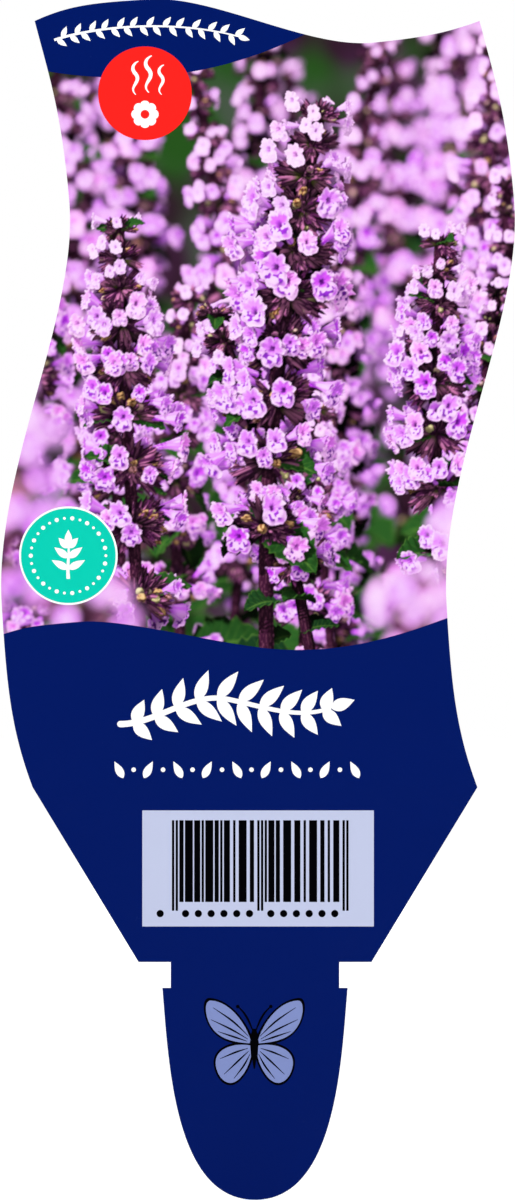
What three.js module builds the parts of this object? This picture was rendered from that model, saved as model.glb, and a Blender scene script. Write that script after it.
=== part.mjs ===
// A stick-in plant label, die-cut in one piece from flat white plastic sheet.
// A tall head with wavy sides narrows over two sloping shoulders to a neck. The neck sits in the slot
// of a pot's rim, or at soil level, and the tongue below it goes into the slot or the soil. The tongue
// starts a little wider than the neck, so its two barbs lock under the rim.
//
// Frame, in millimetres: +Z runs up the label and -Y is the way that the printed face looks. The origin
// is on the back face, in the middle of the neck's top, level with the two shoulder stops.

import * as THREE from "three";

// Driving dimensions
const SHEET_THICKNESS = 0.5;
const EDGE_ROUND = 0.08; // the small round that the cutting die leaves along both faces
const HEAD_WIDTH = 63.4; // from the left wavy side to the right one, level for level
const STOP_HALF_WIDTH = 16.6; // out to where the sloping shoulders end
const NECK_HALF_WIDTH = 12.0;
const NECK_HEIGHT = 3.7;
const BARB_HALF_WIDTH = 13.2;
const TONGUE_LENGTH = 30.2; // below the barbs
const POINTS_PER_CURVE = 40;

// The left side, as the corner where it starts and three Bezier curves: down from the top corner, in to
// a crest, out to a belly and in again to the hip, where the straight shoulder starts.
const TOP_LEFT = [-31.4, 134.1];
const SIDE_CURVES = [
  [[-29.4, 126.4], [-27.6, 121.3], [-26.5, 108.8]],
  [[-24.9, 92.4], [-37.3, 70.1], [-36.1, 51.0]],
  [[-35.4, 39.0], [-34.7, 32.9], [-31.7, 24.9]],
];

// The top edge, from the left corner over a hump and through a dip to the right corner.
const TOP_CURVES = [
  [[-26.4, 136.4], [-23.0, 136.7], [-15.0, 137.2]],
  [[-6.0, 137.8], [7.4, 130.2], [16.7, 131.0]],
  [[23.6, 131.7], [27.0, 132.3], [TOP_LEFT[0] + HEAD_WIDTH, TOP_LEFT[1]]],
];

// The right half of the tongue, from its barb to its round tip.
const TONGUE_TOP = -NECK_HEIGHT;
const TONGUE_TIP = TONGUE_TOP - TONGUE_LENGTH;
const TONGUE_CURVE = [[12.3, -14.5], [11.5, TONGUE_TIP], [0, TONGUE_TIP]];

// The same stretch of outline walked the other way, as its new start and its curves.
function reversed(start, curves) {
  const points = [start, ...curves.flat()].reverse();
  const turned = curves.map((_, i) => points.slice(3 * i + 1, 3 * i + 4));
  return { start: points[0], curves: turned };
}

const shifted = (curves, dx) => curves.map((curve) => curve.map(([x, z]) => [x + dx, z]));
const mirrored = (curves) => curves.map((curve) => curve.map(([x, z]) => [-x, z]));

function addCurves(path, curves) {
  for (const [[ax, az], [bx, bz], [x, z]] of curves) path.bezierCurveTo(ax, az, bx, bz, x, z);
}

// The whole outline, anticlockwise as the printed face is seen, starting at the tongue's tip.
function labelOutline() {
  const right = reversed(
    [TOP_LEFT[0] + HEAD_WIDTH, TOP_LEFT[1]],
    shifted(SIDE_CURVES, HEAD_WIDTH),
  );
  const top = reversed(TOP_LEFT, TOP_CURVES);
  const tongueRight = reversed([BARB_HALF_WIDTH, TONGUE_TOP], [TONGUE_CURVE]);

  const outline = new THREE.Shape();
  outline.moveTo(...tongueRight.start);
  addCurves(outline, tongueRight.curves);
  outline.lineTo(NECK_HALF_WIDTH, TONGUE_TOP);
  outline.lineTo(NECK_HALF_WIDTH, 0);
  outline.lineTo(STOP_HALF_WIDTH, 0);
  outline.lineTo(...right.start);
  addCurves(outline, right.curves);
  addCurves(outline, top.curves);
  addCurves(outline, SIDE_CURVES);
  outline.lineTo(-STOP_HALF_WIDTH, 0);
  outline.lineTo(-NECK_HALF_WIDTH, 0);
  outline.lineTo(-NECK_HALF_WIDTH, TONGUE_TOP);
  outline.lineTo(-BARB_HALF_WIDTH, TONGUE_TOP);
  addCurves(outline, mirrored([TONGUE_CURVE]));
  return outline;
}

// The sheet: the outline at its full size between two rounded rims, stood up so that its thickness
// runs from the back face at y = 0 to the printed face at y = -SHEET_THICKNESS.
function labelSheet() {
  const geometry = new THREE.ExtrudeGeometry(labelOutline(), {
    depth: SHEET_THICKNESS - 2 * EDGE_ROUND,
    curveSegments: POINTS_PER_CURVE,
    bevelEnabled: true,
    bevelThickness: EDGE_ROUND,
    bevelSize: EDGE_ROUND,
    bevelOffset: -EDGE_ROUND,
    bevelSegments: 2,
  });
  geometry.translate(0, 0, EDGE_ROUND);
  geometry.rotateX(Math.PI / 2);
  const navyPrint = new THREE.MeshStandardMaterial({ color: 0x001a65, roughness: 0.45, metalness: 0 });
  const sheet = new THREE.Mesh(geometry, navyPrint);
  sheet.name = "label-sheet";
  return sheet;
}

const label = new THREE.Group();
label.add(labelSheet());

export default label;
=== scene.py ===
# %% [markdown]
# # A printed plant label
#
# The real thing is a stick-in label: one piece of white plastic sheet, half a millimetre thick, printed
# on its front and cut out with a die. The CAD model already holds its exact outline and thickness, so
# Blender never draws that outline again. This first cell loads the CAD model as the fixed frame that
# everything else is measured from.

# %% Load the frame
import math

import bmesh
import bpy
import numpy as np
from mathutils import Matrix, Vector
from mathutils.geometry import delaunay_2d_cdt


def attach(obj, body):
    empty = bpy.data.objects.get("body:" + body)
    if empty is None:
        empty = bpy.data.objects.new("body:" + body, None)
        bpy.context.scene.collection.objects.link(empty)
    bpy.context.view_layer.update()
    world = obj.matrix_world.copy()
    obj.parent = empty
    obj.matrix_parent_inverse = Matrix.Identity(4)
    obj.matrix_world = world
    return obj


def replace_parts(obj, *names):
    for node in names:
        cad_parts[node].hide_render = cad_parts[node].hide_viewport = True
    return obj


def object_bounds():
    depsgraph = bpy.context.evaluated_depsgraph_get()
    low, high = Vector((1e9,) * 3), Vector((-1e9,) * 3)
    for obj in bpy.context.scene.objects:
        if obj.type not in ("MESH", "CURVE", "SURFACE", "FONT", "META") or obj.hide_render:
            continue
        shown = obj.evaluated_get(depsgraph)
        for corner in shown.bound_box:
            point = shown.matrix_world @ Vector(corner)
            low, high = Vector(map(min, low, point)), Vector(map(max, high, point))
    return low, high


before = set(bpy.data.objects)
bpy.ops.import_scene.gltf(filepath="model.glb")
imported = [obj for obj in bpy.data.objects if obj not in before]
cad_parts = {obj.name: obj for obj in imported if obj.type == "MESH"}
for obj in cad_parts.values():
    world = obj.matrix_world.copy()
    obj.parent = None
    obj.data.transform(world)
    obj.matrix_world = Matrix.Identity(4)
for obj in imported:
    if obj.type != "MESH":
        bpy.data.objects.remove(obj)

MM = 0.001  # Blender's unit is the metre, and every shape below is built in millimetres
INSIDE_ONLY = 1  # how delaunay_2d_cdt is told to leave out triangles that lie outside every outline

cad_box = [[float(value) for value in corner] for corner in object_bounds()]
LOW, HIGH = (np.array(corner) / MM for corner in cad_box)
print("CAD box, mm:", LOW.round(2), HIGH.round(2))

# %% [markdown]
# ## Depths
#
# The plastic and its inks share the half millimetre that the CAD sheet takes up. Each print pass lies a
# few thousandths of a millimetre in front of the one before, as ink does, so the renderer always knows
# which colour is on top. The front looks along -Y, so a smaller y is nearer to the reader.

# %% Depths of the layers, in millimetres
BACK = HIGH[1]
PLASTIC_FRONT = -0.430
PICTURE_FRONT = -0.436
FIELD_FRONT = -0.490  # the navy areas, printed over the picture
DISC_FRONT = -0.491
BADGE_FRONT = -0.492
MARK_FRONT = -0.494  # small marks, on those
WING_FRONT = -0.496
BAR_FRONT = -0.498
print("plastic", BACK - PLASTIC_FRONT, "mm, print", round(PLASTIC_FRONT - BAR_FRONT, 3), "mm")

# %% [markdown]
# ## The outline, taken from the CAD sheet
#
# A die cuts plastic and print in one stroke, so every layer ends on the same outline. It could be typed
# in again as curves, but then the two could drift apart. A copy of the CAD mesh is merged and sliced at
# half its thickness instead, and the slice is the outline.


# %% Slice the outline
def label_outline():
    """The label's outline, as x and z in millimetres."""
    section = bmesh.new()
    section.from_mesh(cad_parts["label-sheet"].data)
    bmesh.ops.scale(section, vec=(1 / MM,) * 3, verts=section.verts)
    bmesh.ops.remove_doubles(section, verts=section.verts, dist=0.001)
    bmesh.ops.bisect_plane(
        section,
        geom=section.verts[:] + section.edges[:] + section.faces[:],
        plane_co=(0, (LOW[1] + HIGH[1]) / 2, 0),
        plane_no=(0, 1, 0),
        clear_inner=True,
        clear_outer=True,
    )
    bmesh.ops.remove_doubles(section, verts=section.verts, dist=0.001)
    straight = math.radians(0.2)
    bmesh.ops.dissolve_limit(section, angle_limit=straight, verts=section.verts, edges=section.edges)
    bmesh.ops.contextual_create(section, geom=section.edges[:])
    section.normal_update()
    slice_face = section.faces[:][0]
    if slice_face.normal.y > 0:
        slice_face.normal_flip()
    points = np.array([(corner.vert.co.x, corner.vert.co.z) for corner in slice_face.loops])
    section.free()
    return points


outline = label_outline()
print("outline points:", len(outline), "perimeter box:", outline.min(0).round(2), outline.max(0).round(2))

# %% [markdown]
# Two stretches of the outline are needed as curves of their own: the left side and the top edge. The
# right side is the left one again, moved across, because the die leans both sides the same way.

# %% Find the left side and the top
TOP_CORNER_BAND = 120.0  # both top corners lie above this height
HIP_HEIGHT = 24.9  # the widest corners of the shoulders
SIDE_SWING = 6.0  # how far the wavy side swings in past its top corner


def corner_at(towards_x):
    """The top corner on one side: the outline point furthest that way among the high ones."""
    high = outline[outline[:, 1] > TOP_CORNER_BAND]
    return high[np.argmax(towards_x * high[:, 0] + 2 * high[:, 1])]


def outline_between(first, last):
    """The shorter stretch of the outline that joins two of its points."""
    turned = np.roll(outline, -np.argmin(np.linalg.norm(outline - first, axis=1)), axis=0)
    end = np.argmin(np.linalg.norm(turned - last, axis=1))
    if end > len(turned) / 2:
        turned = np.roll(turned[::-1], 1, axis=0)
        end = len(turned) - end
    return turned[: end + 1]


top_left, top_right = corner_at(-1), corner_at(1)
HEAD_WIDTH = top_right[0] - top_left[0]
on_left = (outline[:, 1] > HIP_HEIGHT) & (outline[:, 1] <= top_left[1])
left_side = outline[on_left & (outline[:, 0] < top_left[0] + SIDE_SWING)]
left_side = left_side[np.argsort(left_side[:, 1])]
top_edge = outline_between(top_left, top_right)
print("top corners:", top_left.round(2), top_right.round(2), "head width:", round(HEAD_WIDTH, 2))

# %% [markdown]
# ## Shader maths that reads as maths
#
# A material is a tree of nodes. Adding each Math node by hand hides the idea, so one small class wraps an
# output of the tree and gives it the ordinary signs: `1 - mask * 0.2` adds two Math nodes. Every other
# kind of node comes from its `node` method, which takes the settings and what goes into each socket.


# %% A wire in a material
class Wire:
    """One output in a material's node tree."""

    def __init__(self, tree, socket):
        self.tree = tree
        self.socket = socket

    def node(self, kind, inputs, output=0, **settings):
        """A new node of that kind, as the wire of one of its outputs."""
        made = self.tree.nodes.new("ShaderNode" + kind)
        for setting, value in settings.items():
            setattr(made, setting, value)
        for place, value in inputs.items():
            if isinstance(value, Wire):
                value.into(made, place)
            else:
                made.inputs[place].default_value = value
        return Wire(self.tree, made.outputs[output])

    def into(self, node, place):
        self.tree.links.new(self.socket, node.inputs[place])

    def math(self, operation, first, second):
        return self.node("Math", {0: first, 1: second}, operation=operation)

    def __add__(self, other):
        return self.math("ADD", self, other)

    def __sub__(self, other):
        return self.math("SUBTRACT", self, other)

    def __rsub__(self, other):
        return self.math("SUBTRACT", other, self)

    def __mul__(self, other):
        return self.math("MULTIPLY", self, other)

    __radd__ = __add__
    __rmul__ = __mul__


def stepped(wire, low, high):
    """0 where wire is under low, 1 where it is over high, and a smooth rise between them."""
    levels = {"Value": wire, "From Min": low, "From Max": high}
    return wire.node("MapRange", levels, interpolation_type="SMOOTHSTEP")


def noise(point, scale, detail=2.0, stretch=(1, 1, 1), turn=0.0):
    """Soft noise from 0 to 1 with about scale bumps a millimetre, longer by stretch and then turned."""
    places = {"Vector": point, "Rotation": (0, turn, 0), "Scale": stretch}
    laid = point.node("Mapping", places, vector_type="TEXTURE")
    return laid.node("TexNoise", {"Vector": laid, "Scale": scale, "Detail": detail})


print("wires ready")

# %% [markdown]
# ## Finishes
#
# Two things show on a label: bare white plastic, and ink under one clear varnish. The varnish runs over
# every colour alike, so one function lays it on each ink: a satin gloss, the faint orange peel of a
# rolled-on coat, and hairline scuffs that catch the light only at an angle. Patterns read the Object
# coordinates, so they stay put whatever view the label is seen from.

# %% Start a finish
SCUFF_STRETCH = (16.0, 1.0, 0.8)
SCUFF_TURNS = (0.5, 1.9, 2.6)
SCUFFS_PER_MM = 1.1
SCUFF_LEVELS = (0.70, 0.76)  # between these heights of its ridge a scuff fades in


def linear(red, green, blue):
    """A screen colour, 0 to 255 in each channel, as amounts of light."""
    share = np.array((red, green, blue), float) / 255
    return np.where(share <= 0.04045, share / 12.92, ((share + 0.055) / 1.055) ** 2.4)


def new_finish(name):
    """A new material, its shader, and a wire with the point on the label in millimetres."""
    material = bpy.data.materials.new(name)
    material.use_nodes = True
    tree = material.node_tree
    place = Wire(tree, tree.nodes.new("ShaderNodeTexCoord").outputs["Object"])
    point = place.node("VectorMath", {0: place, 3: 1 / MM}, operation="SCALE")
    return material, tree.nodes["Principled BSDF"], point


def plain_colour(point, red, green, blue):
    """One colour, as a wire."""
    wire = point.node("RGB", {})
    wire.socket.default_value = (*linear(red, green, blue), 1)
    return wire


def cover_with(shader, colour, cover):
    """Lays a colour on the shader, thinner where cover is less."""
    colour.node("VectorMath", {0: colour, 3: cover}, operation="SCALE").into(shader, "Base Color")


def raise_by(shader, height, strength, distance):
    """Gives the surface a relief too fine for its mesh."""
    bump = {"Strength": strength, "Distance": distance, "Height": height}
    height.node("Bump", bump).into(shader, "Normal")


def scuffs(point):
    """Hairline scuffs: thin stretched ridges of noise in a few directions, 1 on a scuff."""
    lines = 0.0
    for turn in SCUFF_TURNS:
        ridge = noise(point, SCUFFS_PER_MM, 1.0, SCUFF_STRETCH, turn)
        lines = lines + stepped(ridge, *SCUFF_LEVELS)
    return lines


print("scuffs run in", len(SCUFF_TURNS), "directions")

# %% The inks
VARNISH_GLINT = 0.08  # how strongly the varnish mirrors, on the shader's scale where plastic has 0.5
VARNISH_ROUGHNESS, CLOUD_ROUGHNESS, SCUFF_ROUGHNESS = 0.18, 0.08, 0.03
CLOUDS_PER_MM, PEEL_PER_MM, SWELLS_PER_MM = 0.12, 2.6, 0.5
PEEL_STRENGTH, PEEL_DEPTH = 0.10, 0.00002  # the depth in metres


def varnish(shader, point):
    """The clear coat that the press rolls over all the ink."""
    marks = scuffs(point)
    clouds = noise(point, CLOUDS_PER_MM)
    rough = clouds * CLOUD_ROUGHNESS + VARNISH_ROUGHNESS + marks * SCUFF_ROUGHNESS
    rough.into(shader, "Roughness")
    peel = noise(point, PEEL_PER_MM, 3.0)
    height = peel + noise(point, SWELLS_PER_MM) * 0.8 - marks * 0.12
    raise_by(shader, height, PEEL_STRENGTH, PEEL_DEPTH)
    shader.inputs["Specular IOR Level"].default_value = VARNISH_GLINT


MOTTLES_PER_MM, SPECKS_PER_MM, SCREEN_PER_MM = 0.09, 6.0, 7.0


def flat_ink(name, red, green, blue, mottle=0.05):
    """One ink laid flat: its colour, with the slight cloud and speckle of a real press."""
    material, shader, point = new_finish(name)
    specks = noise(point, SPECKS_PER_MM, 1.0)
    cover = noise(point, MOTTLES_PER_MM) * mottle + specks * mottle + (1 - mottle)
    cover_with(shader, plain_colour(point, red, green, blue), cover)
    varnish(shader, point)
    return material


def picture_ink(name):
    """The four-colour picture: each point's own colour, broken up by the grain of the screen."""
    material, shader, point = new_finish(name)
    colour = point.node("Attribute", {}, attribute_name="ink")
    cover_with(shader, colour, noise(point, SCREEN_PER_MM, 1.0) * 0.10 + 0.95)
    varnish(shader, point)
    return material


NAVY = flat_ink("navy_ink", 0, 23, 97)
RED = flat_ink("red_ink", 246, 35, 30, 0.03)
TEAL = flat_ink("teal_ink", 7, 204, 178, 0.03)
PALE_BLUE = flat_ink("pale_blue_ink", 192, 199, 227, 0.02)
MID_BLUE = flat_ink("mid_blue_ink", 128, 142, 196, 0.03)
BLACK = flat_ink("black_ink", 1, 1, 4)
WHITE = flat_ink("unprinted_white", 254, 254, 254, 0.015)
PICTURE = picture_ink("picture_ink")
print("inks:", [ink.name for ink in (NAVY, RED, TEAL, PALE_BLUE, MID_BLUE, BLACK, WHITE, PICTURE)])

# %% [markdown]
# The plastic shows on the back and round the rim. It is extruded white sheet, so it is dry and satin,
# with faint draw lines that run one way. A scan of real sheet could be wrapped round it, but noise that
# is stretched along the draw lines gives the same look at any size and never repeats.

# %% The plastic
DRAW_STRETCH = (1.0, 1.0, 60.0)  # the draw lines run up the label
DRAWS_PER_MM, SHADES_PER_MM, DULLS_PER_MM, GRAINS_PER_MM = 1.6, 0.06, 0.2, 4.0
PLASTIC_ROUGHNESS, PLASTIC_BRIGHTNESS = 0.40, 0.92
GRAIN_STRENGTH, GRAIN_DEPTH = 0.22, 0.00003  # the depth in metres


def bare_plastic(name):
    """White sheet plastic: faint clouds, the fine draw lines of its making, and a dry satin face."""
    material, shader, point = new_finish(name)
    marks = scuffs(point)
    draw = noise(point, DRAWS_PER_MM, 2.0, DRAW_STRETCH)
    cover = noise(point, SHADES_PER_MM) * 0.06 + draw * 0.06 + PLASTIC_BRIGHTNESS - marks * 0.04
    cover_with(shader, plain_colour(point, 238, 239, 238), cover)
    rough = noise(point, DULLS_PER_MM) * 0.12 + PLASTIC_ROUGHNESS + marks * 0.08
    rough.into(shader, "Roughness")
    height = noise(point, GRAINS_PER_MM, 3.0) * 0.7 + draw * 0.8 - marks * 0.5
    raise_by(shader, height, GRAIN_STRENGTH, GRAIN_DEPTH)
    return material


PLASTIC = bare_plastic("white_plastic")
print("plastic:", PLASTIC.name)

# %% [markdown]
# ## The plastic sheet
#
# The blank is the outline given a thickness. The die leaves a small round where it comes out, so the
# rim of the back is bevelled. The inks are plates too, only thinner, and many marks are several shapes
# that overlap. Left as they are, they would be walls inside walls and faces that share one plane. So the
# outlines are first joined into one flat sheet by a Delaunay triangulation and then given their depth.


# %% Plates and pieces
def extruded(shape, faces, depth):
    """Grows flat faces into a solid that is depth thick along Y."""
    grown = bmesh.ops.extrude_face_region(shape, geom=faces)["geom"]
    moved_verts = [item for item in grown if isinstance(item, bmesh.types.BMVert)]
    bmesh.ops.translate(shape, vec=(0, depth, 0), verts=moved_verts)


def finished(name, shape, material):
    """shape as a piece of the label: in metres, facing outwards, in its material, riding on the body."""
    bmesh.ops.recalc_face_normals(shape, faces=shape.faces)
    bmesh.ops.scale(shape, vec=(MM,) * 3, verts=shape.verts)
    mesh = bpy.data.meshes.new(name)
    shape.to_mesh(mesh)
    shape.free()
    return placed(mesh, material)


def placed(mesh, material):
    """A finished mesh, already in metres, as a piece of the label."""
    mesh.materials.append(material)
    piece = bpy.data.objects.new(mesh.name, mesh)
    bpy.context.scene.collection.objects.link(piece)
    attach(piece, "root")
    print(f"{mesh.name}: {len(mesh.polygons)} faces")
    return piece


def plates(name, outlines, front, back, ink):
    """One piece made of flat plates between two depths. Outlines that overlap are joined to one plate."""
    corners, loops = [], []
    for points in outlines:
        loops.append(range(len(corners), len(corners) + len(points)))
        corners.extend(Vector(point) for point in points)
    spots, _, faces, _, _, _ = delaunay_2d_cdt(corners, [], loops, INSIDE_ONLY, 1e-5)
    shape = bmesh.new()
    verts = [shape.verts.new((x, front, z)) for x, z in spots]
    extruded(shape, [shape.faces.new([verts[i] for i in face]) for face in faces], back - front)
    return finished(name, shape, ink)


# %% The blank
DIE_ROUND = 0.08


def blank_sheet():
    """The plastic blank, with the rim of its back rounded. The inks cover its front up to the cut."""
    shape = bmesh.new()
    back = shape.faces.new([shape.verts.new((x, BACK, z)) for x, z in outline])
    extruded(shape, [back], PLASTIC_FRONT - BACK)
    bmesh.ops.recalc_face_normals(shape, faces=shape.faces)
    rims = [edge for edge in shape.edges if edge.verts[0].co.y == edge.verts[1].co.y == BACK]
    bmesh.ops.bevel(
        shape,
        geom=rims,
        offset=DIE_ROUND,
        offset_type="OFFSET",
        affect="EDGES",
        segments=3,
        profile=0.5,
        material=-1,
        clamp_overlap=True,
    )
    return shape


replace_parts(finished("plastic-sheet", blank_sheet(), PLASTIC), "label-sheet")

# %% [markdown]
# ## The picture
#
# The head of the label carries a colour picture of catmint in flower. It could be made of flat shapes,
# but those would look like a cartoon, so the picture is made the way a camera makes one. A few plant
# parts are modelled once each in three dimensions. They are repeated round stems, lit from one side,
# and seen from the front. What stands nearer or further than the one sharp distance is blurred by a
# disc, as a lens does. The result is kept as one colour for each vertex of a thin film of ink.
#
# First come three small tools: a smooth step, a mix of two colours, and noise that is the same each run.


# %% Steps, mixes and noise
NOISE_CELLS = 64


def rise(value, low, high):
    """0 where value is under low, 1 where it is over high, and a smooth rise between them."""
    share = np.clip((value - low) / (high - low), 0, 1)
    return share * share * (3 - 2 * share)


def mixed(colour, other, share):
    """Rows of colour moved towards other by a share for each row."""
    return colour + (other - colour) * np.asarray(share)[..., None]


def between(table, columns, rows, right, above):
    """Values between a table's cells, given two columns, two rows and the shares of the second ones."""
    low = table[rows[0], columns[0]] * (1 - right) + table[rows[0], columns[1]] * right
    high = table[rows[1], columns[0]] * (1 - right) + table[rows[1], columns[1]] * right
    return low * (1 - above) + high * above


def soft_noise(across, up, seed):
    """Smooth noise from 0 to 1 with one bump a unit."""
    table = np.random.default_rng(seed).random((NOISE_CELLS, NOISE_CELLS)).T
    column, row = np.floor(across).astype(int), np.floor(up).astype(int)
    right, above = rise(across - column, 0, 1), rise(up - row, 0, 1)
    columns = column % NOISE_CELLS, (column + 1) % NOISE_CELLS
    rows = row % NOISE_CELLS, (row + 1) % NOISE_CELLS
    return between(table, columns, rows, right, above)


print("noise at three points:", soft_noise(np.array([0.2, 0.7, 1.4]), np.zeros(3), 1).round(3))

# %% [markdown]
# ### Plant parts
#
# Each part starts as a plain shape from an operator, such as a disc, a cone or a grid. One formula
# bends the plain shape into its form, and another one dyes it by the place on the plain shape. Dyeing
# by the plain place keeps the spots and veins exact, however few faces the part has. Every dye is handed
# the same three things, needed or not: the plain place, the copy's luck from 0 to 1, and how pale it is.


# %% A part of the plant
class Part:
    """A plant part: a plain shape, its form in millimetres, and the dye that colours it."""

    def __init__(self, shape, form, dye):
        bmesh.ops.triangulate(shape, faces=shape.faces)
        shape.verts.index_update()
        self.plain = np.array([vert.co for vert in shape.verts])
        self.corners = np.array([[vert.index for vert in face.verts] for face in shape.faces])
        shape.free()
        self.points = form(self.plain)
        self.dye = dye
        self.normals = self.vertex_normals()

    def vertex_normals(self):
        """A direction for each vertex: the sum of its faces' own, weighted by their areas."""
        first, second, third = (self.points[self.corners[:, i]] for i in range(3))
        facing = np.cross(second - first, third - first)
        total = np.zeros_like(self.points)
        for i in range(3):
            np.add.at(total, self.corners[:, i], facing)
        return total / np.maximum(np.linalg.norm(total, axis=1, keepdims=True), 1e-9)


PINHOLE = 0.02


def polar_disc(rings, segments):
    """A flat disc of radius 1 in rings, its middle left open by a pinhole."""
    shape = bmesh.new()
    spoke = [shape.verts.new((ring / rings, 0, 0)) for ring in range(1, rings + 1)]
    spoke.insert(0, shape.verts.new((PINHOLE, 0, 0)))
    edges = [shape.edges.new(pair) for pair in zip(spoke, spoke[1:])]
    turn = {"cent": (0, 0, 0), "axis": (0, 0, 1), "dvec": (0, 0, 0), "angle": 2 * math.pi}
    bmesh.ops.spin(shape, geom=spoke + edges, steps=segments, use_merge=True, **turn)
    return shape


def sleeve(segments, rings):
    """An open upright tube of radius 1 and height 1."""
    shape = bmesh.new()
    bmesh.ops.create_circle(shape, segments=segments, radius=1)
    edges = shape.edges[:]
    for _ in range(rings):
        grown = bmesh.ops.extrude_edge_only(shape, edges=edges)["geom"]
        edges = [item for item in grown if isinstance(item, bmesh.types.BMEdge)]
        lifted = [item for item in grown if isinstance(item, bmesh.types.BMVert)]
        bmesh.ops.translate(shape, vec=(0, 0, 1 / rings), verts=lifted)
    return shape


def turn_of(plain):
    """The angle round Z of each point of a plain shape."""
    return np.arctan2(plain[:, 0], plain[:, 1])


def rings_of(plain, radius, heights):
    """The points of a plain sleeve, with a radius and a height for each."""
    return np.stack((plain[:, 0] * radius, plain[:, 1] * radius, heights), 1)


print("plain shapes: disc and sleeve")

# %% [markdown]
# The floret is the flower's face: two small upper lobes, two side lobes and one broad, scalloped and
# spotted lower lip round a dark throat. Its reach is set by the angle from straight down.

# %% The floret's lips
LIP_HEART = 1.1  # how far every lip reaches at least, in millimetres
LOBES = ((0, 64, 1.05, 4), (108, 21, 0.32, 4), (154, 22, 0.4, 4))  # angle, half width, height, squareness
NICK_DEPTH, NICK_WIDTH = 0.1, 9  # in the middle of the lower lip, in millimetres and degrees
LOBE_BUMP, FRILL_BUMP = 33, 7  # degrees of the edge to one bump of the uneven lobes and of the frill
POUT, CURL, HOOD, THROAT_DEPTH = 0.55, 0.5, 0.5, 1.7  # in millimetres
RUFFLES = 9
LIP_VARIETY = (0.0, 11.0, 23.0, 37.0)  # where in the noise each variant of the lips starts
SPECKLES = 6.5  # bumps of the spots' noise over the lip's radius
PETAL = linear(216, 142, 244)
PETAL_WARM = linear(238, 156, 240)
PETAL_DEEP = linear(182, 92, 220)
PETAL_EDGE = linear(252, 214, 253)
THROAT = linear(96, 36, 122)
SPOT = linear(88, 24, 126)


def lip_form(variety):
    """The formula that bends the disc into lips. They open from a throat and cup forward."""

    def form(plain):
        across, up = plain[:, 0], plain[:, 1]
        share = np.hypot(across, up)
        turn = np.degrees(np.arctan2(across, -up))
        angle = np.abs(turn)
        reach = LIP_HEART - NICK_DEPTH * np.exp(-((angle / NICK_WIDTH) ** 2))
        for middle, half, height, square in LOBES:
            reach = reach + height * np.exp(-(np.abs((angle - middle) / half) ** square))
        variant = np.full_like(turn, variety)
        uneven = 0.84 + 0.32 * soft_noise(turn / LOBE_BUMP + variety, variant, 11)
        frill = soft_noise(turn / FRILL_BUMP + variety, variant, 12) - 0.5
        edge = rise(share, 0.55, 1)
        length = reach * (1 + (uneven - 1 + 0.16 * frill) * edge)
        lower = rise(-up, -0.1, 0.6)
        pout = POUT * share * lower - CURL * rise(share, 0.7, 1.0) * lower
        ruffle = (0.7 * frill + 0.12 * np.sin(np.radians(turn) * RUFFLES)) * edge
        hood = HOOD * share * (1 - lower)
        throat = -THROAT_DEPTH * (1 - rise(share, 0.0, 0.34))
        return np.stack((across * length, up * length, throat + pout + ruffle + hood), 1)

    return form


def lip_dye(plain, luck, pale):
    """Pale edge, mauve petal, violet spots on the lower lip, and a dark throat."""
    across, up = plain[:, 0], plain[:, 1]
    share, turn = np.hypot(across, up), turn_of(plain)
    colour = mixed(mixed(PETAL, PETAL_DEEP, rise(luck, 0.55, 1)), PETAL_WARM, rise(luck, 0.4, 0.1))
    vein = soft_noise(turn * 7 + luck * 31, share * 2, 3)
    colour = mixed(colour, PETAL_DEEP, 0.55 * rise(vein, 0.5, 0.9) * (1 - share))
    frayed = soft_noise(turn * 4 + luck * 17, share * 3, 13)
    colour = mixed(colour, PETAL_EDGE, 0.85 * rise(share + 0.3 * (frayed - 0.5), 0.74, 1.0))
    patch = rise(share, 0.26, 0.38) * rise(share, 0.88, 0.74)
    lower = rise(-up, 0.02, 0.25)
    speckle = soft_noise(across * SPECKLES + luck * 47, up * SPECKLES + luck * 13, 4)
    colour = mixed(colour, PETAL_EDGE, 0.7 * patch * lower)
    colour = mixed(colour, SPOT, 0.95 * rise(speckle, 0.48, 0.58) * patch * lower)
    colour = mixed(colour, THROAT, 0.8 * (1 - rise(share, 0.12, 0.30)))
    return mixed(colour, PETAL_EDGE, pale * (0.45 + 0.4 * rise(share, 0.2, 0.5)))


print("lobes:", 2 * len(LOBES) - 1, "of at least", LIP_HEART, "mm")

# %% [markdown]
# Behind each flower's face stand a slim trumpet and the ribbed, toothed cup that holds it. The cup stays
# when its flower drops, and such cups make the lower parts of a spike dark. Buds and withered flowers
# sit in them too. Each could be modelled by hand, but all of them are round about an axis, so a plain
# sleeve or ball with a radius for each height is enough.

# %% Tube, calyx, bud and withered flower
TUBE_LENGTH, TUBE_FOOT, TUBE_FLARE, TUBE_SAG = 4.0, 0.34, 0.85, 0.5
CALYX_LENGTH, CALYX_FOOT, CALYX_SWELL = 2.5, 0.22, 0.34
CALYX_TEETH = 5
CALYX = linear(62, 32, 58)
CALYX_TIP = linear(158, 112, 138)
CALYX_GREEN = linear(98, 100, 66)
BUD = linear(190, 182, 150)
BUD_BLUSH = linear(196, 138, 176)
WITHERED = linear(194, 164, 134)
WITHERED_DARK = linear(98, 66, 54)


def tube_form(plain):
    """A trumpet along +Z that ends at the origin, slim in the calyx and wide at the throat."""
    along = plain[:, 2]
    points = rings_of(plain, TUBE_FOOT + TUBE_FLARE * along**2.2, (along - 1) * TUBE_LENGTH)
    points[:, 1] -= TUBE_SAG * (1 - along) ** 2
    return points


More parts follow.
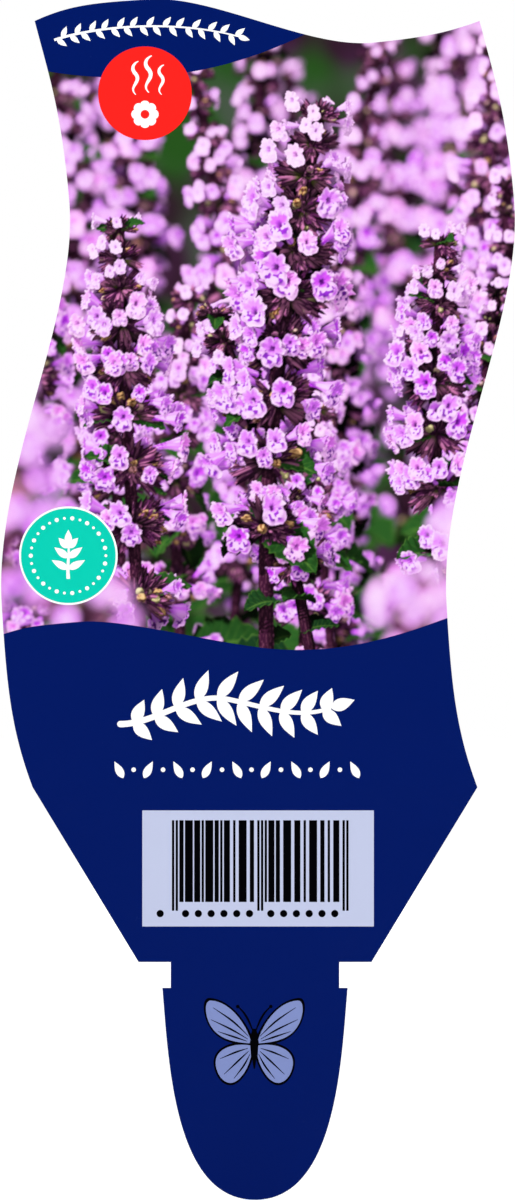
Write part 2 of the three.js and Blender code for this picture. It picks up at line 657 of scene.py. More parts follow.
def tube_dye(plain, luck, pale):
    along = plain[:, 2]
    streak = soft_noise(turn_of(plain) * 4 + luck * 29, along * 2, 5)
    colour = mixed(PETAL_DEEP, PETAL, rise(along, 0.1, 0.8))
    return mixed(mixed(colour, PETAL_EDGE, 0.55 * rise(streak, 0.35, 0.8)), PETAL_EDGE, 0.7 * pale)


def calyx_form(plain):
    """A ribbed cup along +Z with pointed teeth."""
    along, turn = plain[:, 2], turn_of(plain)
    tooth = rise(along, 0.6, 1) * np.abs(np.cos(turn * CALYX_TEETH / 2))
    rib = 1 + 0.10 * np.cos(turn * CALYX_TEETH * 2)
    radius = (CALYX_FOOT + CALYX_SWELL * np.sin(np.minimum(along * 1.15, 1) * math.pi / 2)) * rib
    return rings_of(plain, radius * (1 + 0.45 * tooth), along * CALYX_LENGTH * (0.62 + 0.62 * tooth))


def calyx_dye(plain, luck, pale):
    along = plain[:, 2]
    streak = soft_noise(turn_of(plain) * 5 + luck * 37, along * 1.5, 6)
    colour = mixed(CALYX, CALYX_GREEN, 0.85 * rise(luck, 0.4, 0.8) * rise(along, 1.0, 0.2))
    return mixed(colour, CALYX_TIP, 0.8 * rise(streak, 0.4, 0.8) * rise(along, 0.2, 0.9))


def bud_form(plain):
    """A closed bud, a little pointed, along +Z."""
    slim = 1 - 0.35 * rise(plain[:, 2], 0.1, 1)
    return rings_of(plain, slim * 0.8, plain[:, 2] * 1.15 + 0.9)


def bud_dye(plain, luck, pale):
    colour = mixed(BUD, BUD_BLUSH, rise(luck, 0.35, 0.9) * rise(plain[:, 2], -0.3, 0.7))
    return mixed(colour, CALYX_GREEN, rise(plain[:, 2], 0.0, -0.9))


def withered_form(plain):
    """A spent flower: a small crumpled rag."""
    crumple = 0.35 + 1.1 * soft_noise(plain[:, 0] * 2.2 + 9, plain[:, 1] * 2.2 + plain[:, 2] * 2.6, 7)
    return plain * crumple[:, None] * np.array((0.8, 0.7, 1.3)) + np.array((0, 0, 1.2))


def withered_dye(plain, luck, pale):
    fold = soft_noise(plain[:, 0] * 3 + luck * 23, plain[:, 1] * 3 + plain[:, 2] * 2, 8)
    return mixed(mixed(WITHERED, BUD_BLUSH, 0.5 * rise(luck, 0.7, 1)), WITHERED_DARK, rise(fold, 0.4, 0.8))


print("calyx", CALYX_LENGTH, "mm, tube", TUBE_LENGTH, "mm")

# %% [markdown]
# The stem is square with rounded edges, and the leaves are small, toothed and grey-green. A stem could
# be one long swept curve. Short joints that overlap are simpler, since the stem is then one more part to
# repeat, and it can bend from joint to joint.

# %% Stem and leaf
STEM = linear(50, 26, 42)
STEM_LIGHT = linear(104, 70, 86)
LEAF = linear(40, 62, 38)
LEAF_LIGHT = linear(80, 100, 64)
LEAF_DARK = linear(22, 38, 28)
LEAF_TEETH = 9
LEAF_VEINS = 11
LEAF_HALF = 0.34  # half the width of a leaf of length 1


def stem_form(plain):
    """One short length of square stem, along +Z from 0 to 1."""
    return rings_of(plain, 1 + 0.12 * np.cos(4 * turn_of(plain)), plain[:, 2])


def stem_dye(plain, luck, pale):
    ridge = soft_noise(turn_of(plain) * 4, plain[:, 2] * 3 + luck * 19, 9)
    return mixed(STEM, STEM_LIGHT, 0.6 * rise(ridge, 0.45, 0.9))


def leaf_form(plain):
    """A toothed leaf of length 1 along +Z from the origin, arched, with its face towards +Y."""
    along, side = (plain[:, 1] + 1) / 2, np.abs(plain[:, 0])
    half = LEAF_HALF * np.sin(math.pi * along**0.8) ** 0.8
    saw = np.abs((along * LEAF_TEETH) % 1 - 0.5) * 2 - 0.5
    across = plain[:, 0] * half * (1 + 0.14 * saw * rise(side, 0.5, 1))
    fold = 0.5 * np.abs(across) - 0.35 * (along - 0.4) ** 2
    return np.stack((across, fold + 0.03 * np.sin(along * 40) * side, along), 1)


def leaf_dye(plain, luck, pale):
    along, side = (plain[:, 1] + 1) / 2, np.abs(plain[:, 0])
    colour = mixed(LEAF, LEAF_DARK, 0.8 * rise(luck, 0.5, 1))
    rib = np.abs(((along * LEAF_VEINS - side * 2.2) % 1) - 0.5) * 2
    colour = mixed(colour, LEAF_LIGHT, 0.45 * rise(rib, 0.7, 1) * (1 - side))
    return mixed(colour, LEAF_LIGHT, 0.7 * rise(side, 0.14, 0.02) + 0.5 * rise(side, 0.88, 1))


print("leaf teeth a side:", LEAF_TEETH)

# %% [markdown]
# The sharp row shows every tooth and spot, and the blurred rows don't. So the same formulas make the set
# twice, with fine faces and with coarse ones, which saves most of the work.

# %% The set of parts, fine and coarse
def leaf_sheet(steps):
    shape = bmesh.new()
    bmesh.ops.create_grid(shape, x_segments=max(4, steps // 3), y_segments=steps, size=1)
    return shape


def round_seed(detail):
    shape = bmesh.new()
    bmesh.ops.create_icosphere(shape, subdivisions=detail, radius=1)
    return shape


def part_set(fine):
    """The plant's parts with that many faces along their small sides, by name."""
    lips = [Part(polar_disc(6 * fine, 22 * fine), lip_form(start), lip_dye) for start in LIP_VARIETY]
    return {
        **{f"lips-{i}": part for i, part in enumerate(lips)},
        "tube": Part(sleeve(5 * fine, 3 * fine), tube_form, tube_dye),
        "calyx": Part(sleeve(10 * fine, 3 * fine), calyx_form, calyx_dye),
        "bud": Part(round_seed(1 + fine), bud_form, bud_dye),
        "withered": Part(round_seed(1 + fine), withered_form, withered_dye),
        "stem": Part(sleeve(4 * fine, fine), stem_form, stem_dye),
        "leaf": Part(leaf_sheet(18 * fine), leaf_form, leaf_dye),
    }


FINE, COARSE = part_set(2), part_set(1)
for name in FINE:
    print(name, "has", len(FINE[name].corners), "fine or", len(COARSE[name].corners), "coarse faces")

# %% [markdown]
# ### Spikes
#
# A catmint spike is a square stem with whorls: rings of flowers at one height. At the tip they are close
# and pale, with buds among them. Lower down they stand further apart, and more of them have dropped
# their flowers and left dark toothed cups. One function grows a whorl and another one stacks whorls.
# What grows is only noted, as a part's name with its place, and drawn later.


# %% Places for the parts
UPWARD = np.array((0.0, 0.0, 1.0))


def unit(vector):
    return vector / np.linalg.norm(vector)


def facing_place(origin, out, size, roll=0.0, upward=UPWARD):
    """The 3 x 4 matrix that puts a part at origin with its +Z along out and its +Y as far up as can be."""
    out = unit(out)
    up = upward - out * np.dot(upward, out)
    if np.linalg.norm(up) < 0.05:
        up = np.array((0.0, 1.0, 0.0)) - out * out[1]
    up = unit(up)
    turned = up * math.cos(roll) + np.cross(up, out) * math.sin(roll)
    return np.column_stack((np.cross(turned, out) * size, turned * size, out * size, origin))


def heading(around, lift):
    """The direction at an angle round the stem and another above the level, both in radians."""
    return np.array((math.cos(around) * math.cos(lift), math.sin(around) * math.cos(lift), math.sin(lift)))


class Growth:
    """Notes of what stands where, for one layer of the picture."""

    def __init__(self, seed):
        self.notes = {}
        self.random = np.random.default_rng(seed)

    def put(self, name, place, pale=0.0):
        self.notes.setdefault(name, []).append((place, self.random.random(), pale))

    def share(self):
        return self.random.random()

    def about(self, middle, spread):
        return middle + spread * (2 * self.random.random() - 1)


# %% A whorl
OPEN_SHARE = ((0, 0.35, 1), (0.60, 0.84, 0.50))  # flowers in bloom at the tip, the middle and the foot
MOUTH_TURN = np.array((0.0, -0.40, -0.34))  # flowers turn to the light, which comes from the reader's side
FLOWER_LENGTH = 5.9  # from the stem's side to the mouth
BUD_PLACE, BUD_SIZE = 1.5, 0.66  # how far out on its calyx, and how large
RAG_PLACE, RAG_SIZE = 1.8, 0.75  # the same for a withered flower
FLOWER_REACH = 10.4  # how far a flower of its own full size stands out
CUP_REACH, CUP_SPREAD = 8.0, 1.2  # the same for the small cups close to the stem


def grow_flower(growth, root, out, size, share):
    """One flower on its calyx. share is 0 at the spike's tip and 1 at its lowest whorl."""
    roll = growth.about(0, 0.35)
    growth.put("calyx", facing_place(root, out, size, roll))
    chance, open_share = growth.share(), np.interp(share, *OPEN_SHARE)
    if chance < open_share:
        length = growth.about(FLOWER_LENGTH, 0.9) * size
        sideways = np.array((growth.about(0, 0.3), 0.0, growth.about(0, 0.25)))
        drooped = unit(out + MOUTH_TURN * growth.about(0.9, 0.6) + sideways)
        mouth = root + unit(out) * length
        pale = max(0, growth.about(0.9 - 2.6 * share, 0.25))
        growth.put("tube", facing_place(mouth, drooped, size, roll), pale)
        lips = f"lips-{int(growth.share() * len(LIP_VARIETY))}"
        growth.put(lips, facing_place(mouth, drooped, size * growth.about(0.95, 0.18), roll), pale)
    elif chance < open_share + 0.22 * (1 - share) + 0.05:
        growth.put("bud", facing_place(root + unit(out) * BUD_PLACE * size, out, size * BUD_SIZE, roll))
    elif chance < open_share + 0.38:
        growth.put("withered", facing_place(root + unit(out) * RAG_PLACE * size, out, size * RAG_SIZE, roll))


def grow_whorl(growth, centre, reach, share, count):
    """A ring of flowers in two or three storeys round the stem, and more cups and buds close to it."""
    start = growth.share()
    for i in range(count):
        around = 2 * math.pi * (start + (i + growth.about(0, 0.35)) / count)
        out = heading(around, growth.about(0.55 - 0.55 * share, 0.42))
        size = reach / FLOWER_REACH * growth.about(1, 0.16)
        grow_flower(growth, centre + out * growth.about(0.55, 0.25) * size * 2.0, out, size, share)
    for _ in range(count * 5 // 4):
        out = heading(2 * math.pi * growth.share(), growth.about(0.1, 0.8))
        root = centre + out * 0.9
        size = reach / growth.about(CUP_REACH, CUP_SPREAD)
        growth.put("calyx", facing_place(root, out, size, growth.about(0, 3)))
        chance = growth.share()
        if chance < 0.3:
            name = "bud" if chance < 0.18 else "withered"
            growth.put(name, facing_place(root + out * 1.5 * reach / 7.2, out, reach / 15))


print("a floret is turned by", MOUTH_TURN)

# %% A spike
STEM_RADIUS = 0.62  # on a spike of the common reach
COMMON_REACH = 7.6
JOINT_LENGTH = 1.2
TIP_GAP, FIRST_GAP, LAST_GAP = 0.8, 3.8, 12.0  # above the first whorl, under it, and above the last one
TIP_FLOWERS, MORE_FLOWERS = 8, 15  # in the first whorl, and how many more in a full one


def grow_stem(growth, points, radius):
    """A stem along points, as short joints that overlap a little."""
    for start, end in zip(points, points[1:]):
        run = end - start
        place = facing_place(start, run, radius, upward=np.array((0.0, -1.0, 0.0)))
        place[:, 2] *= 1.06 * np.linalg.norm(run) / radius
        growth.put("stem", place)


def grow_leaves(growth, node, size, around):
    """A pair of leaves, opposite each other, hanging a little."""
    for turn in (0, math.pi):
        out = np.array((math.cos(around + turn), math.sin(around + turn), growth.about(-0.15, 0.5)))
        upward = np.array((growth.about(0, 0.5), -0.6, 0.8))
        growth.put("leaf", facing_place(node + out * 0.5, out, size * growth.about(1, 0.2), 0, upward))


def grow_spike(growth, foot, tip, reach, bloom, leafy):
    """A spike from foot to tip. Its flowers stand out by reach and fill the upper share called bloom."""
    foot, tip = np.array(foot, float), np.array(tip, float)
    length = np.linalg.norm(tip - foot)
    bow = np.array((growth.about(0, 0.05), 0, 0)) * length
    shares = np.linspace(0, 1, max(2, int(length / JOINT_LENGTH)) + 1)
    line = foot + (tip - foot) * shares[:, None] + bow * np.sin(shares * math.pi)[:, None]
    grow_stem(growth, line, STEM_RADIUS * reach / COMMON_REACH)
    down = TIP_GAP
    while down < length * bloom:
        share = down / (length * bloom)
        at = 1 - down / length
        centre = foot + (tip - foot) * at + bow * math.sin(at * math.pi)
        full = rise(share, 0.0, 0.35)
        wide = reach * (0.55 + 0.45 * full) * growth.about(1, 0.12)
        grow_whorl(growth, centre, wide, share, int(TIP_FLOWERS + MORE_FLOWERS * full))
        if growth.share() < 0.3 + share:
            grow_leaves(growth, centre, reach * (0.35 + leafy * share), growth.share() * math.pi)
        down += FIRST_GAP + (LAST_GAP - FIRST_GAP) * share * growth.about(1, 0.15)
    while down < length:
        centre = foot + (tip - foot) * (1 - down / length)
        grow_leaves(growth, centre, reach * 0.65, growth.share() * math.pi)
        down += LAST_GAP * 1.3


print("whorls stand", FIRST_GAP, "to", LAST_GAP, "mm apart")

# %% [markdown]
# ### Drawing a layer
#
# A layer is a board of small squares, like a camera's sensor. Every face of every part is dotted finely
# enough to reach each square that it covers, and a square keeps only the nearest dot. That gives, for
# each square, what is seen there and how near it is. Light is worked out once for each square: one soft
# key light from the upper left, a sky, shadows cast by whatever stands nearer towards the light, and
# darker hollows.

# %% The board
BOARD_LOW = np.array((-38.0, 42.0))
BOARD_HIGH = np.array((38.0, 139.0))
NOTHING = -60.0  # how near an empty square is, in millimetres
DOT_SPACING = 0.85  # in squares


def dotted(count):
    """Shares of a face's three corners for a triangle of dots, count steps along each side."""
    rows = [(i, j, count - i - j) for i in range(count + 1) for j in range(count + 1 - i)]
    return np.array(rows, np.float32) / count


class Board:
    """One layer of the picture as it falls on the sensor."""

    def __init__(self, pitch):
        self.pitch = pitch
        self.wide, self.high = np.ceil((BOARD_HIGH - BOARD_LOW) / pitch).astype(int)
        squares = self.wide * self.high
        self.near = np.full(squares, NOTHING, np.float32)
        self.kind = np.full(squares, -1, np.int16)
        self.plain = np.zeros((squares, 3), np.float32)
        self.normal = np.zeros((squares, 3), np.float32)
        self.nature = np.zeros((squares, 2), np.float32)  # luck and paleness

    def lay(self, kind, part, notes):
        """Draws every noted copy of one part."""
        places = np.array([place for place, _, _ in notes], np.float32)
        nature = np.array([(luck, pale) for _, luck, pale in notes], np.float32)
        points = np.einsum("kij,nj->kni", places[:, :, :3], part.points.astype(np.float32))
        points += places[:, None, :, 3]
        corners = points[:, part.corners].reshape(-1, 3, 3)
        sides = corners - np.roll(corners, 1, axis=1)
        longest = np.sqrt((sides[..., 0] ** 2 + sides[..., 2] ** 2).max(1))
        steps = np.maximum(1, np.ceil(longest / (self.pitch * DOT_SPACING))).astype(int)
        for count in np.unique(steps):
            faces, shares = np.flatnonzero(steps == count), dotted(count)
            dots = np.einsum("sc,fcx->fsx", shares, corners[faces]).reshape(-1, 3)
            chosen, square = self.nearest(dots)
            face, share = faces[chosen // len(shares)], shares[chosen % len(shares)]
            copy, corner = face // len(part.corners), part.corners[face % len(part.corners)]
            self.kind[square] = kind
            self.plain[square] = np.einsum("sc,scx->sx", share, part.plain[corner])
            facing = np.einsum("sc,scx->sx", share, part.normals[corner])
            self.normal[square] = np.einsum("sij,sj->si", places[copy, :, :3], facing)
            self.nature[square] = nature[copy]

    def nearest(self, dots):
        """The dots that are nearest in their squares so far, and those squares."""
        column = np.floor((dots[:, 0] - BOARD_LOW[0]) / self.pitch).astype(int)
        row = np.floor((dots[:, 2] - BOARD_LOW[1]) / self.pitch).astype(int)
        on_board = (column >= 0) & (column < self.wide) & (row >= 0) & (row < self.high)
        chosen = np.flatnonzero(on_board)
        square = row[chosen] * self.wide + column[chosen]
        near = -dots[chosen, 1]
        ahead = np.flatnonzero(near > self.near[square])
        order = ahead[np.argsort(near[ahead], kind="stable")]
        chosen, square, near = chosen[order], square[order], near[order]
        self.near[square] = near
        kept = self.near[square] == near
        return chosen[kept], square[kept]


print("board:", (BOARD_HIGH - BOARD_LOW).tolist(), "mm")

# %% [markdown]
# A lens turns each unsharp point into a small even disc, and that gives a blurred flower its soft round
# edge. Adding up the discs of all squares one by one would be slow for the far rows, whose discs are
# many squares wide, so the sum is done as one product of Fourier transforms.

# %% Blur
SHARP = 0.6  # a blur of fewer squares than this is left out


def blurred(plane, radius):
    """Each square shared out over a disc of that radius in squares, as an unsharp lens does."""
    if radius < SHARP:
        return plane
    pad = int(radius) + 2
    padded = np.pad(plane, ((pad, pad), (pad, pad)) + ((0, 0),) * (plane.ndim - 2), mode="edge")
    high, wide = padded.shape[:2]
    row = np.minimum(np.arange(high), high - np.arange(high))
    column = np.minimum(np.arange(wide), wide - np.arange(wide))
    disc = np.clip(radius + 0.5 - np.hypot(row[:, None], column[None, :]), 0, 1)
    disc = np.fft.rfft2(disc / disc.sum())
    if plane.ndim == 3:
        disc = disc[..., None]
    spread = np.fft.irfft2(np.fft.rfft2(padded, axes=(0, 1)) * disc, s=(high, wide), axes=(0, 1))
    return spread[pad:-pad, pad:-pad]


# %% Light
KEY = unit(np.array((-0.50, -0.62, 0.62)))
KEY_STRENGTH = 0.95
SKY_STRENGTH = 0.42
SHADOW_REACH = 5.0  # how far a shadow is looked for, in millimetres
SHADOW_STEPS = 10
SHADOW_EDGE = 0.05, 0.5  # how much nearer something stands that starts to cast a shadow, and casts it fully
SHADOW_END = 9.0, 5.0  # how much nearer something stands that is too far off to, and one that isn't yet
HOLLOW_SIZE = 1.1
HOLLOW_DEPTH = 3.2
DEEPEST = 14.0  # how far behind its nearest flower a layer still counts, in millimetres
GLOW = {"lips": 0.28, "tube": 0.22, "leaf": 0.12}  # light that comes through thin petals


def shadows(near, pitch):
    """How much of the key light is hidden from each square by what stands nearer along its way."""
    hidden = np.zeros_like(near)
    for step in range(1, SHADOW_STEPS + 1):
        way = SHADOW_REACH * (step / SHADOW_STEPS) ** 1.4
        right, up = round(KEY[0] * way / pitch), round(KEY[2] * way / pitch)
        towards = np.roll(near, (-up, -right), axis=(0, 1))
        above = towards - (near - KEY[1] * way)
        hidden = np.maximum(hidden, rise(above, *SHADOW_EDGE) * rise(above, *SHADOW_END))
    return hidden


def hollows(near, pitch):
    """How deep each square lies under its surroundings, from 0 to 1."""
    level = blurred(np.maximum(near, near.max() - DEEPEST), HOLLOW_SIZE / pitch)
    return np.clip((level - near) / HOLLOW_DEPTH, 0, 1)


def developed(board, parts):
    """The lit layer: its colours times its cover, with the cover as a fourth channel."""
    shape = (board.high, board.wide)
    near = board.near.reshape(shape)
    cover = board.kind >= 0
    normal = board.normal / np.maximum(np.linalg.norm(board.normal, axis=1, keepdims=True), 1e-6)
    normal *= -np.sign(normal[:, 1:2])
    albedo = np.zeros((len(cover), 3))
    glow = np.zeros(len(cover))
    for kind, (name, part) in enumerate(parts.items()):
        mine = board.kind == kind
        albedo[mine] = part.dye(board.plain[mine], *board.nature[mine].T)
        glow[mine] = GLOW.get(name.split("-")[0], 0)
    lit = 1 - shadows(near, board.pitch).ravel()
    open_sky = 1 - hollows(near, board.pitch).ravel()
    key = np.clip(normal @ KEY, 0, 1) * lit * KEY_STRENGTH
    sky = (0.62 + 0.38 * normal[:, 2]) * SKY_STRENGTH * open_sky**1.3
    colour = albedo * (key + sky + glow * (0.4 + 0.6 * lit))[:, None]
    layer = np.concatenate((colour, np.ones((len(colour), 1))), 1) * cover[:, None]
    return closed_gaps(layer.reshape(*shape, 4))


def closed_gaps(layer):
    """The layer with its lone empty squares filled from the squares around them."""
    total = sum(np.roll(layer, (i, j), axis=(0, 1)) for i in (-1, 0, 1) for j in (-1, 0, 1))
    empty = (layer[..., 3] == 0) & (total[..., 3] >= 5)
    layer[empty] = total[empty] / total[empty, 3:]
    return layer


print("key light", KEY_STRENGTH, "and sky", SKY_STRENGTH)

# %% [markdown]
# ### Planting the bed
#
# The bed is planted in seven rows, from far to near. Each row is a layer with its own blur. Far rows
# need no fine parts and no fine board, since the blur eats them. Where a spike stands inside its row is
# drawn by lot from the row's own seed, except in the sharp row and the front row, which set the layout.

# %% Rows of spikes
FOOT_HEIGHT = 30.0
BED_WIDTH = 76.0
# seed, spikes, reach, the tips' height and its spread; then the board's pitch, the blur and the gain
FAR_ROWS = (
    ((1160, 8, 7.4, 138, 12), (0.2, 0.9, 0.85)),
    ((1161, 6, 7.2, 127, 14), (0.2, 0.65, 0.92)),
    ((1162, 4, 7.2, 114, 18), (0.15, 0.42)),
    ((1163, 4, 7.2, 102, 16), (0.12, 0.25)),
    ((1164, 3, 7.2, 86, 12), (0.1, 0.15)),
)
# where the foot and the tip stand across the label, the tip's height, how near it stands, and its reach
SHARP_SPIKES = (
    (2.0, 9.0, 121.0, 0.0, 11.6),
    (-15.0, -19.5, 105.0, 1.5, 9.4),
    (31.0, 26.5, 103.0, 1.0, 9.6),
    (10.0, -6.0, 93.0, -4.0, 8.8),
)
FRONT_SPIKES = (
    (-40.0, -35.0, 84.0, 0.0, 11.0),
    (-22.0, -27.0, 56.0, 2.0, 10.0),
    (36.0, 36.0, 68.0, 0.0, 11.5),
    (22.0, 23.5, 54.0, 3.0, 9.5),
)


def row_by_lot(seed, count, reach, tip_height, spread, depth=8.0):
    """A row of spikes at even spaces across the picture, each one shifted a little by lot."""
    growth = Growth(seed)
    for i in range(count):
        x = BED_WIDTH * (i + 0.5 + growth.about(0, 0.42)) / count - BED_WIDTH / 2
        top = growth.about(tip_height, spread)
        foot = (x + growth.about(0, 5), growth.about(0, depth), FOOT_HEIGHT)
        tip = (x, growth.about(0, depth), top)
        grow_spike(growth, foot, tip, reach * growth.about(1, 0.15), bloom=0.9, leafy=1.5)
    return growth


def row_by_hand(seed, spikes):
    """A row of spikes whose places are given."""
    growth = Growth(seed)
    for foot_x, tip_x, tip_z, near, reach in spikes:
        foot, tip = (foot_x, -near, FOOT_HEIGHT), (tip_x, -near, tip_z)
        grow_spike(growth, foot, tip, reach, bloom=0.72, leafy=0.45)
    return growth


def shot(growth, parts, pitch, blur, gain=1.0):
    """One finished layer and its pitch: drawn, lit, and out of focus by a disc of blur millimetres."""
    board = Board(pitch)
    for kind, (name, part) in enumerate(parts.items()):
        if name in growth.notes:
            board.lay(kind, part, growth.notes[name])
    return blurred(developed(board, parts), blur / pitch) * np.array((gain, gain, gain, 1)), pitch


rows = [shot(row_by_lot(*planted), COARSE, *seen) for planted, seen in FAR_ROWS]
rows.append(shot(row_by_hand(25, SHARP_SPIKES), FINE, 0.0615, 0.075))
rows.append(shot(row_by_hand(26, FRONT_SPIKES), COARSE, 0.25, 1.5, 1.3))
print("rows:", [layer.shape[:2] for layer, _ in rows])

# %% [markdown]
# The rows lie one over the next on a dim ground of leaves. Then the whole is graded as pictures on plant
# labels are: brighter, richer in colour, and eased off near white, so that the palest petals keep some
# of their lilac. The grade comes last, because it has to treat petals, leaves and ground alike.

# %% Film the rows
GROUND = linear(38, 25, 34)
GROUND_GREEN = linear(42, 64, 38)
GROUND_MAUVE = linear(150, 96, 158)
EXPOSURE = 2.13
CONTRAST = 1.14
SATURATION = 1.42
SHOULDER, LIGHTEST = 0.42, 0.92  # brighter than the first is eased towards the second
HUE_KEPT = 0.4  # the share of the easing that leaves a bright petal its hue


def cloud(x, z, size, seed):
    """Soft patches of about that size, from three grids of noise turned against each other."""
    total = 0.0
    for grid, (turn, part) in enumerate(((0.5, 1.0), (1.6, 0.8), (2.6, 0.6))):
        across = (x * math.cos(turn) - z * math.sin(turn)) / (size * part)
        up = (x * math.sin(turn) + z * math.cos(turn)) / (size * part)
        total = total + soft_noise(across, up, seed + grid) / 3
    return total


def ground_colour(x, z):
    """The dim bed behind the spikes."""
    ground = np.broadcast_to(GROUND, (len(x), 3))
    colour = mixed(ground, GROUND_GREEN, rise(cloud(x, z, 11, 31), 0.44, 0.66))
    return mixed(colour, GROUND_MAUVE, 0.08 * rise(cloud(x, z, 7, 41), 0.35, 0.8))


def looked_up(layer, pitch, x, z):
    """The layer's four channels at points, between its squares."""
    column = np.clip((x - BOARD_LOW[0]) / pitch - 0.5, 0, layer.shape[1] - 1.001)
    row = np.clip((z - BOARD_LOW[1]) / pitch - 0.5, 0, layer.shape[0] - 1.001)
    left, below = column.astype(int), row.astype(int)
    right, above = (column - left)[:, None], (row - below)[:, None]
    return between(layer, (left, left + 1), (below, below + 1), right, above)


def eased(light):
    """Light with a soft end near white."""
    over = np.maximum(light - SHOULDER, 0) / (LIGHTEST - SHOULDER)
    return np.minimum(light, SHOULDER) + (LIGHTEST - SHOULDER) * (1 - np.exp(-over))


def graded(colour):
    """The film's grade: exposure, contrast, richer colour, and a soft end near white."""
    grey = colour @ np.array((0.2126, 0.7152, 0.0722))
    rich = grey[:, None] + (colour - grey[:, None]) * SATURATION
    strong = EXPOSURE * np.maximum(rich, 0) ** CONTRAST
    top = strong.max(1, keepdims=True)
    same_hue = strong * eased(top) / np.maximum(top, 1e-6)
    return eased(strong) * (1 - HUE_KEPT) + same_hue * HUE_KEPT


def picture_colour(x, z):
    """The picture's colour, as amounts of light, at points on the label."""
    colour = ground_colour(x, z)
    for layer, pitch in rows:
        seen = looked_up(layer, pitch, x, z)
        colour = seen[:, :3] + colour * (1 - seen[:, 3:])
    return graded(np.maximum(colour, 0))


print("one point of the picture:", picture_colour(np.zeros(1), np.full(1, 90.0)).round(3))

# %% [markdown]
# ### The film of ink
#
# The picture is a film a few thousandths of a millimetre thick. It starts as a square grid. One formula
# leans the grid's columns along the wavy sides and stretches them up to the wavy top, so the film ends
# exactly where the die cuts. The grid's pitch is finer than the dots of a printed picture, and each of
# its vertices takes one colour. It is laid in bands, because a single mesh of that many faces is heavy
# to handle.

# %% Where the film lies
FILM_FOOT = 43.4  # hidden under the navy field
FILM_PITCH = 0.124
FILM_BANDS = 4


def left_at(z):
    return np.interp(z, left_side[:, 1], left_side[:, 0])


def top_at(x):
    return np.interp(x, *top_edge.T)


def film_place(across, up):
    """The point on the label, as x and z, at shares of the way across and up the picture."""
    side = FILM_FOOT + (top_left[1] - FILM_FOOT) * up
    top = top_at(top_left[0] + HEAD_WIDTH * across)
    return left_at(side) + HEAD_WIDTH * across, FILM_FOOT + (top - FILM_FOOT) * up


for corner in ((0, 0), (1, 0), (1, 1), (0, 1)):
    print("film corner:", np.round(film_place(*corner), 1))


# %% One band of the film
def band_blank(columns, rows_up):
    """A closed flat box whose front is a grid. It spans 0 to 1 in X and Y, with its back at Z = -1."""
    shape = bmesh.new()
    bmesh.ops.create_grid(shape, x_segments=columns, y_segments=rows_up, size=0.5)
    bmesh.ops.translate(shape, vec=(0.5, 0.5, 0), verts=shape.verts)
    rim = [edge for edge in shape.edges if edge.is_boundary]
    grown = bmesh.ops.extrude_edge_only(shape, edges=rim)["geom"]
    sunk = [item for item in grown if isinstance(item, bmesh.types.BMVert)]
    bmesh.ops.translate(shape, vec=(0, 0, -1), verts=sunk)
    back = [edge for edge in shape.edges if edge.is_boundary]
    bmesh.ops.contextual_create(shape, geom=back)
    bmesh.ops.recalc_face_normals(shape, faces=shape.faces)
    return shape


def numbers_of(items, field, width, kind=float):
    """One field of a mesh's vertices or loops, as a table with width columns."""
    table = np.zeros(len(items) * width, kind)
    items.foreach_get(field, table)
    return table.reshape(-1, width)


def film_band(number):
    """One band, counted from below, in place and with the picture's colours on its vertices."""
    height = top_left[1] - FILM_FOOT
    rows_up = round(height / FILM_BANDS / FILM_PITCH)
    shape = band_blank(round(HEAD_WIDTH / FILM_PITCH), rows_up)
    mesh = bpy.data.meshes.new(f"picture-film-{number + 1}")
    shape.to_mesh(mesh)
    shape.free()
    plain = numbers_of(mesh.vertices, "co", 3)
    x, z = film_place(plain[:, 0], (number + plain[:, 1]) / FILM_BANDS)
    y = PICTURE_FRONT + (PICTURE_FRONT - PLASTIC_FRONT) * plain[:, 2]
    mesh.vertices.foreach_set("co", (np.stack((x, y, z), 1) * MM).ravel())
    lay_ink(mesh, picture_colour(x, z))
    add_front_map(mesh)
    return mesh


def lay_ink(mesh, colours):
    """Writes one colour to each vertex, as the attribute that the picture's ink reads."""
    ink = mesh.attributes.new("ink", "FLOAT_COLOR", "POINT")
    channels = np.concatenate((colours, np.ones((len(colours), 1))), 1)
    ink.data.foreach_set("color", channels.ravel())


def add_front_map(mesh):
    """A flat map of the front, with each vertex at its own place on the front."""
    places = numbers_of(mesh.vertices, "co", 3)[:, (0, 2)]
    flat = (places - places.min(0)) / (places.max(0) - places.min(0))
    corners = numbers_of(mesh.loops, "vertex_index", 1, int)
    mesh.uv_layers.new(name="OFBake").data.foreach_set("uv", flat[corners].ravel())


for number in range(FILM_BANDS):
    placed(film_band(number), PICTURE)

# %% [markdown]
# ## The navy fields
#
# Solid navy covers the lower half of the label and a lens along its top. Both are plates cut from the
# same outline as the sheet: the stretch of outline that lies in the field, closed by a curve. A press
# lays them over the picture, so they lie in front of it.


# %% Curves
HAIR = 0.01  # keeps a point of the outline that lies on a field's edge from being used twice


def bezier(start, *curves, steps=24):
    """Points along Bezier curves laid end to end, each given by its two handles and its end."""
    points = [np.array(start, float)]
    share = np.linspace(0, 1, steps + 1)[1:, None]
    for handle, second_handle, end in curves:
        first, last = points[-1], np.array(end, float)
        near, far = np.array(handle, float), np.array(second_handle, float)
        rest = 1 - share
        middle = 3 * rest**2 * share * near + 3 * rest * share**2 * far
        points.extend(rest**3 * first + middle + share**3 * last)
    return np.array(points)


def outline_with(kept, line):
    """The kept stretch of the outline, closed by a line between its two ends."""
    start = next(i for i in range(len(outline)) if kept[i] and not kept[i - 1])
    stretch = np.roll(outline, -start, axis=0)[: kept.sum()]
    if np.linalg.norm(stretch[-1] - line[0]) > np.linalg.norm(stretch[-1] - line[-1]):
        line = line[::-1]
    return np.concatenate((stretch, line))


